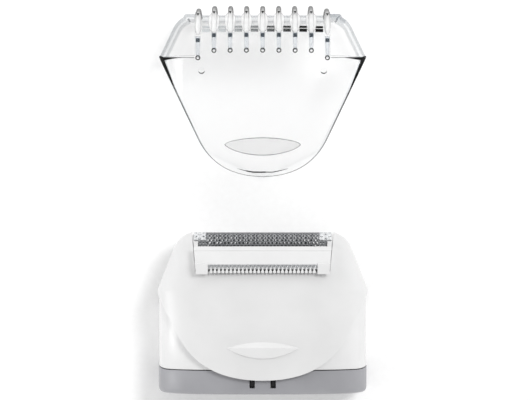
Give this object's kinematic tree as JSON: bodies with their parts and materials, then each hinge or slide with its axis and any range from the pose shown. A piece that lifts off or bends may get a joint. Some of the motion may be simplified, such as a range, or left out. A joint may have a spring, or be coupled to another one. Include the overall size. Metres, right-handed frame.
{
  "type": "epilator shaving head with comb cap",
  "caption": "Foil shaving head for an epilator, lying on its back, with its clear comb cap taken off and laid in line beyond the foil.",
  "frame": {"origin": "middle of the underside of the whole set as it lies on a table", "axes": "+X to the head's right, +Y from the grey collar towards the foil and the comb cap, +Z out of the head's front face, up from the table"},
  "size_m": [0.0518, 0.0952, 0.0287],
  "materials": {
    "white_abs": "satin-gloss injection-moulded ABS",
    "inner_abs": "as moulded",
    "grey_abs": "satin injection-moulded ABS",
    "black_pom": "satin moulded acetal",
    "natural_pom": "as moulded, unpigmented acetal",
    "clear_plastic": "clear polished moulding",
    "seal_rubber": "soft moulded",
    "steel": "ground stainless steel",
    "clip_steel": "pressed bright stainless steel",
    "foil_nickel": "electroformed nickel foil, perforated",
    "spring_steel": "drawn spring wire",
    "sintered_bronze": "sintered bearing bronze"
  },
  "bodies": {
    "base": {"base_collar": "grey_abs", "body_shell": "white_abs", "base_plate": "inner_abs", "bearing_bush": "sintered_bronze", "rocker_bracket": "inner_abs", "rocker_pivot_pin": "steel", "rocker_seal": "seal_rubber", "base_screw_1": "steel", "base_screw_2": "steel", "base_screw_3": "steel", "base_screw_4": "steel", "latch_spring": "spring_steel"},
    "drive": {"drive_coupler": "natural_pom", "eccentric_pin": "steel"},
    "rocker": {"rocker_arm": "natural_pom"},
    "latch": {"release_latch": "black_pom"},
    "hood": {"hood_front": "white_abs", "hood_rear": "white_abs", "hood_bridge": "inner_abs", "float_spring_left": "spring_steel", "float_spring_right": "spring_steel"},
    "cassette": {"foil_frame": "white_abs", "shaver_foil": "foil_nickel", "foil_clip_left": "clip_steel", "foil_clip_right": "clip_steel", "trimmer_guard": "steel"},
    "shuttle": {"cutter_block": "steel", "cutter_spring": "spring_steel", "cutter_carrier": "natural_pom", "trimmer_blade": "steel"},
    "comb_cap": {"comb_cap": "clear_plastic"}
  },
  "joints": [
    {"name": "drive_spin", "type": "hinge", "parent": "base", "child": "drive", "pos_m": [0, -0.0446, 0.013], "axis": [0, 1, 0], "continuous": true},
    {"name": "rocker_swing", "type": "hinge", "parent": "base", "child": "rocker", "pos_m": [0, -0.0335, 0.013], "axis": [0, 0, 1], "range_deg": [-2.87, 2.87]},
    {"name": "latch_press", "type": "slide", "parent": "base", "child": "latch", "axis": [0, 0, -1], "range_m": [0, 0.0006], "stiffness_N_per_m": 500, "springref_m": -0.0004, "deforming": ["latch_spring"]},
    {"name": "hood_release", "type": "slide", "parent": "base", "child": "hood", "axis": [0, 1, 0], "range_m": [0, 0.012]},
    {"name": "foil_float", "type": "slide", "parent": "hood", "child": "cassette", "axis": [0, 1, 0], "range_m": [-0.001, 0], "stiffness_N_per_m": 400, "springref_m": 0.0015, "deforming": ["float_spring_left", "float_spring_right"]},
    {"name": "cutter_shuttle", "type": "slide", "parent": "cassette", "child": "shuttle", "axis": [1, 0, 0], "range_m": [-0.00073, 0.00073]},
    {"name": "cap_slide", "type": "slide", "parent": "base", "child": "comb_cap", "axis": [0, 1, 0], "range_m": [-0.0494, 0]}
  ],
  "couplings": [
    {"joint": "rocker_swing", "follows": "cutter_shuttle", "rad_per_m": -68.493}
  ]
}
